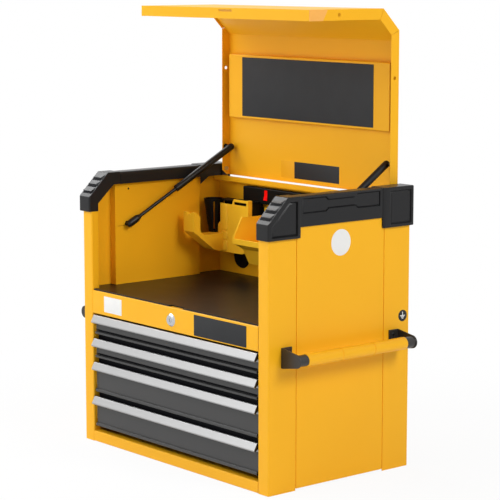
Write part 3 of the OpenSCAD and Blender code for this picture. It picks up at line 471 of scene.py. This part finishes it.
endPlates("LidTab", lidTab, faceAt("lid_shell", 1, 0), (0, 0), "pale_reflection_coat", "lid")
# black plates at both ends of each pull, painted shade
for count in range(1, 5):
    pull = f"drawer_{count}_pull"
    corner = (faceAt(pull, 0, 1) + pullEndShade["bend"], faceAt(pull, 1, 2))
    endPlates(f"Plug{count}", pullEndShade, faceAt(pull, 1, 0), corner, "black_plastic", f"drawer_{count}")

sleeve = {  # over the handle tube, in mm: joint is half width and depth, lap is what the collars hide
    "over": 2.6, "jointAt": 46.0, "joint": (1.0, 1.3), "edge": 0.8, "lap": 11.5, "columns": 64,
}


def sleeveGrid(radius, half):
    # a circle of radius r(y) carried along y: square ends with a chamfer, a V groove at each joint
    wide, deep = sleeve["joint"]
    edge = sleeve["edge"]
    profile = [(-half, radius - edge), (-half + edge, radius)]
    for at in (-sleeve["jointAt"], sleeve["jointAt"]):
        profile += [(at - wide, radius), (at, radius - deep), (at + wide, radius)]
    profile += [(half - edge, radius), (half, radius - edge)]
    circle = unitCircle(sleeve["columns"])
    return stacked([(circle * r, along) for along, r in profile])


for side in ("left", "right"):
    low, high = (np.array(corner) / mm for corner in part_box(side + "_handle_grip"))
    middle = (low + high) / 2
    tube = (high[2] - low[2]) / 2
    grid = sleeveGrid(tube + sleeve["over"], (high[1] - low[1]) / 2 - sleeve["lap"])
    newPiece(side + "GripSleeve", grid, "rear", middle, "yellow_powder_coat", "case")

divider = {  # cross rails between the drawers, in mm
    "half": 296.0, "depth": 9.5, "room": 1.2, "corner": 0.6, "thick": 1.2,
}
for count in range(1, 4):
    low = faceAt(f"drawer_{count + 1}_box", 1, 2) + divider["room"]
    high = faceAt(f"drawer_{count}_front", 0, 2) - divider["room"]
    middle = (0, faceAt(f"drawer_{count}_box", 0, 1) + divider["depth"], (low + high) / 2)
    grid = plateGrid(divider["half"], (high - low) / 2, divider["corner"], divider["thick"])
    newPiece(f"drawerDivider{count}", grid, "front", middle, "matt_enamel_and_shade", "case")

gutterShadeStrip = {  # a dark strip along the bottom of a gutter, painted shade, in mm: share of the gutter's width
    "rim": 2.0, "share": 0.46, "sunk": 4.0, "corner": 0.4, "thick": 0.6,
}
for count in (1, 2):
    front = f"drawer_{count}_front"
    face = faceAt(f"drawer_{count}_box", 0, 1)
    up = faceAt(front, 0, 2) + gutter["base"] + gutter["wide"] / 2
    half = faceAt(front, 1, 0) - gutterShadeStrip["rim"]
    grid = plateGrid(half, gutterShadeStrip["share"] * gutter["wide"], gutterShadeStrip["corner"],
                     gutterShadeStrip["thick"])
    newPiece(f"gutterShadeStrip{count}", grid, "front", (0, face + gutterShadeStrip["sunk"], up), "matt_enamel_and_shade",
             f"drawer_{count}")

pocketPads = {  # low pillows down the front of the holster pocket, in mm over its lowest edge
    "inset": 88.5, "deep": 12.0, "half": 12.0, "spans": ((2, 28), (28.6, 50), (50.6, 116)),
    "thick": 2.6, "round": 0.6,
}


def pillowGrid(halfWide, halfHigh, thick):
    # an oval section: inset w (1 - cos a) and height t sin a, with w a share of the smaller half
    width = pocketPads["round"] * min(halfWide, halfHigh)
    lift = np.radians([0, 15, 30, 45, 60, 75])
    layers = [(width * (1 - math.cos(a)), thick * math.sin(a)) for a in lift]
    return stacked([(roundedOutline(halfWide - d, halfHigh - d, width - d), h) for d, h in layers])


pocketFace = faceAt("holster_pocket", 1, 1) - pocketPads["deep"]
for count, (low, high) in enumerate(pocketPads["spans"]):
    up = faceAt("holster_pocket", 0, 2) + (low + high) / 2
    middle = (faceAt("holster_pocket", 1, 0) - pocketPads["inset"], pocketFace, up)
    grid = pillowGrid(pocketPads["half"], (high - low) / 2, pocketPads["thick"])
    newPiece(f"pocketPad{count + 1}", grid, "front", middle, "yellow_plastic", "case")

wallPlug = {  # closes the small hole in a till wall, in mm
    "radius": 2.9, "deep": 0.9, "along": 89.0, "up": -42.0, "thick": 0.4,
}
for side, facing, corner, out in (("left", "right", 1, -1), ("right", "left", 0, 1)):
    panel = side + "_side_panel"
    middle = (faceAt(panel, corner, 0) + out * wallPlug["deep"], faceAt(panel, 0, 1) + wallPlug["along"],
              faceAt(side + "_top_rail", 1, 2) + wallPlug["up"])
    radius = wallPlug["radius"]
    grid = plateGrid(radius, radius, radius, wallPlug["thick"])
    newPiece(side + "WallPlug", grid, facing, middle, "matt_enamel_and_shade", "case")

padShade = {  # a dark strip along the foot of each finger pad, on the slope of a front cap, in mm
    "run": 53.5, "shares": (0.2, 0.46, 0.72), "inset": 4.8, "half": 2.0, "corner": 0.5, "thick": 0.9,
}
for side in ("left", "right"):
    low, high = (np.array(corner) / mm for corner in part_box(side + "_front_cap"))
    halfWide = (high[0] - low[0]) / 2 - padShade["inset"]
    grid = plateGrid(halfWide, padShade["half"], padShade["corner"], padShade["thick"])
    for count, share in enumerate(padShade["shares"]):
        along = padShade["run"] * share - padShade["half"] * slant
        middle = ((low[0] + high[0]) / 2, low[1] + along, high[2] - padShade["run"] + along)
        newPiece(f"{side}PadShade{count + 1}", grid, "slope", middle, "matt_enamel_and_shade", "case")

screws = {  # two in each handle bracket, in mm: the cross recess is in shares of the radius and the crown
    "radius": 4.6, "crown": 2.2, "ends": (-150.75, 152.25), "heights": (302.0, 279.0), "out": 3.5,
    "sunk": 0.4, "columns": 48, "long": 0.52, "narrow": 0.14, "rim": 0.86, "bottom": 0.25, "taper": 0.7,
}


def screwGrid(radius, crown):
    # a dome of radius r cos a and height c sin a, and a cross recess whose outline in polar form is
    # the smaller of length / max(|cos|, |sin|) and width / min(|cos|, |sin|)
    circle = unitCircle(screws["columns"])
    major, minor = np.abs(circle).max(1), np.maximum(np.abs(circle).min(1), 1e-6)
    reach = np.minimum(screws["long"] * radius / major, screws["narrow"] * radius / minor)
    cross = circle * reach[:, None]
    foot = [(circle * radius, -screws["sunk"])]
    dome = [(circle * radius * np.cos(a), crown * math.sin(a)) for a in np.radians([0, 20, 40, 55])]
    hollow = [(cross, crown * screws["rim"]), (cross * screws["taper"], crown * screws["bottom"])]
    return stacked(foot + dome + hollow)


for side, sign in (("left", -1), ("right", 1)):
    for end, along in zip(("Front", "Rear"), screws["ends"]):
        for level, up in zip(("Upper", "Lower"), screws["heights"]):
            middle = (sign * (sideFace + screws["out"]), along, up)
            grid = screwGrid(screws["radius"], screws["crown"])
            newPiece(f"{side}{end}{level}Screw", grid, side, middle, "black_enamel", "case")
print("plates, labels and screws placed")


# Stage: pale floor, white surround, four soft lamps
stage = {  # half width and fade of the floor in metres, its drop in mm, and shares of light
    "floor": 24.0, "near": 0.55, "far": 1.3, "drop": 0.2, "ambient": 0.22, "glow": 0.92,
}
lamps = [  # name, place (m), aim (m), size (m), radiance
    ("topLamp", (-2.6, -0.3, 3.1), (0, -0.1, 0.6), 2.4, 5.7),
    ("frontLamp", (-1.5, -4.2, 3.0), (0, 0, 0.5), 5.0, 2.65),
    ("sideLamp", (4.0, 0.6, 3.2), (0, 0, 0.4), 1.9, 12.4),
    ("fillLamp", (3.8, -1.8, 1.5), (0, 0, 0.4), 1.6, 1.4),
]


def seenDirect(tree):  # 1 for camera, glossy and transmission rays
    path = addNode(tree, "ShaderNodeLightPath")
    first = addNode(tree, "ShaderNodeMath", {0: path.outputs["Is Camera Ray"],
                                             1: path.outputs["Is Glossy Ray"]}, operation="MAXIMUM")
    either = addNode(tree, "ShaderNodeMath", {0: first.outputs[0],
                                              1: path.outputs["Is Transmission Ray"]}, operation="MAXIMUM")
    return either.outputs[0]


world = bpy.data.worlds.new("surround")
bpy.context.scene.world = world
world.use_nodes = True
sky = world.node_tree
sky.nodes.clear()
white = hexLinear("#FFFFFF")
lit = addNode(sky, "ShaderNodeBackground", {"Color": white, "Strength": stage["ambient"]})
seen = addNode(sky, "ShaderNodeBackground", {"Color": white, "Strength": 1.0})
both = addNode(sky, "ShaderNodeMixShader", {0: seenDirect(sky), 1: lit.outputs[0], 2: seen.outputs[0]})
addNode(sky, "ShaderNodeOutputWorld", {"Surface": both.outputs[0]})

paper = bpy.data.materials.new("palePaper")
paper.use_nodes = True
sweep = paper.node_tree
sweep.nodes.clear()
plain = addNode(sweep, "ShaderNodeBsdfDiffuse", {"Color": hexLinear("#F2F2F2")})
glow = addNode(sweep, "ShaderNodeEmission", {"Color": white, "Strength": 1.0})
place = addNode(sweep, "ShaderNodeTexCoord").outputs["Object"]
reach = addNode(sweep, "ShaderNodeVectorMath", {0: place}, operation="LENGTH")
fade = addNode(sweep, "ShaderNodeMapRange", {"Value": reach.outputs["Value"], "From Min": stage["near"],
                                             "From Max": stage["far"], "To Min": stage["glow"],
                                             "To Max": 1.0}, interpolation_type="SMOOTHSTEP")
faint = addNode(sweep, "ShaderNodeMixShader", {0: fade.outputs["Result"], 1: plain.outputs[0],
                                               2: glow.outputs[0]})
floorMix = addNode(sweep, "ShaderNodeMixShader", {0: seenDirect(sweep), 1: plain.outputs[0],
                                                  2: faint.outputs[0]})
addNode(sweep, "ShaderNodeOutputMaterial", {"Surface": floorMix.outputs[0]})
floorMesh = bpy.data.meshes.new("floor")
half = stage["floor"]
floorCorners = [(-half, -half, 0), (half, -half, 0), (half, half, 0), (-half, half, 0)]
floorMesh.from_pydata(floorCorners, [], [(0, 1, 2, 3)])
floorMesh.materials.append(paper)
floor = bpy.data.objects.new("floor", floorMesh)
bpy.context.scene.collection.objects.link(floor)
floor.location.z = -stage["drop"] * mm

for name, place, aim, size, radiance in lamps:
    lamp = bpy.data.lights.new(name, "AREA")
    lamp.shape = "DISK"
    lamp.size = size
    lamp.energy = radiance * math.pi ** 2 * size ** 2 / 4  # a disk of area A gives energy / (pi A)
    lampObject = bpy.data.objects.new(name, lamp)
    bpy.context.scene.collection.objects.link(lampObject)
    lampObject.location = place
    lampObject.rotation_euler = (Vector(aim) - Vector(place)).to_track_quat("-Z", "Y").to_euler()

# Camera at the photograph's angle
view = {  # degrees, metres, and the lens and its sensor in mm
    "azimuth": 50.11, "elevation": 8.42, "distance": 4.2922, "target": (0.0162, 0.01075, 0.4654),
    "lens": 137.57, "sensor": 36.0,
}
turn, rise = math.radians(view["azimuth"]), math.radians(view["elevation"])
ahead = Vector((-math.sin(turn) * math.cos(rise), math.cos(turn) * math.cos(rise), -math.sin(rise)))
cameraData = bpy.data.cameras.new("photoCamera")
cameraData.lens = view["lens"]
cameraData.sensor_width = view["sensor"]
camera = bpy.data.objects.new("photoCamera", cameraData)
bpy.context.scene.collection.objects.link(camera)
camera.location = Vector(view["target"]) - ahead * view["distance"]
camera.rotation_euler = ahead.to_track_quat("-Z", "Y").to_euler()
bpy.context.scene.camera = camera
bpy.context.scene.view_settings.view_transform = "Standard"
print("stage set")
